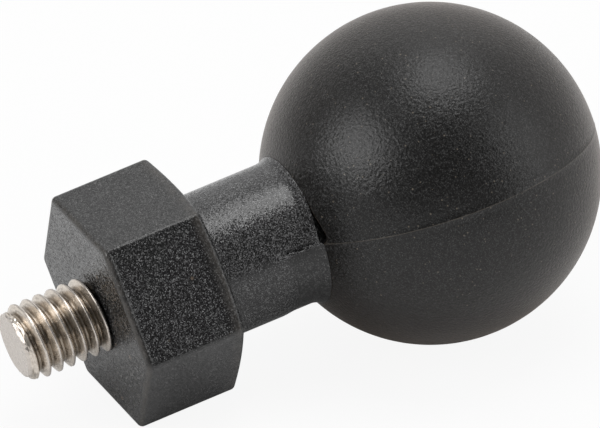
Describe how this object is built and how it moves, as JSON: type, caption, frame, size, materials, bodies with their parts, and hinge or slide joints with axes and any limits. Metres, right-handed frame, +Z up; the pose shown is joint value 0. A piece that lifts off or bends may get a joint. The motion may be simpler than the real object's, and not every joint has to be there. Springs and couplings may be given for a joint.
{
  "type": "threaded ball stud",
  "caption": "Rubber ball on a moulded neck with a hexagon collar and a steel threaded stud: screws into a tapped plate and carries a clamp socket at any angle.",
  "frame": {"origin": "on the floor, under the middle of the length of the stud as it lies at rest", "axes": "+X from the thread towards the ball, +Z up; the stud's axis lies in the XZ plane and falls 10.2 degrees towards the thread"},
  "size_m": [0.0472, 0.0254, 0.0254],
  "materials": {
    "stainless": "rolled thread, warm satin steel",
    "moulded_nylon": "charcoal glass-filled nylon with a fine moulded grain, coarse on one flat and the neck",
    "ball_rubber": "matt black rubber with a moulded parting line"
  },
  "bodies": {
    "root": {"threaded_stud": "stainless", "hex_post": "moulded_nylon", "rubber_ball": "ball_rubber"}
  },
  "joints": []
}
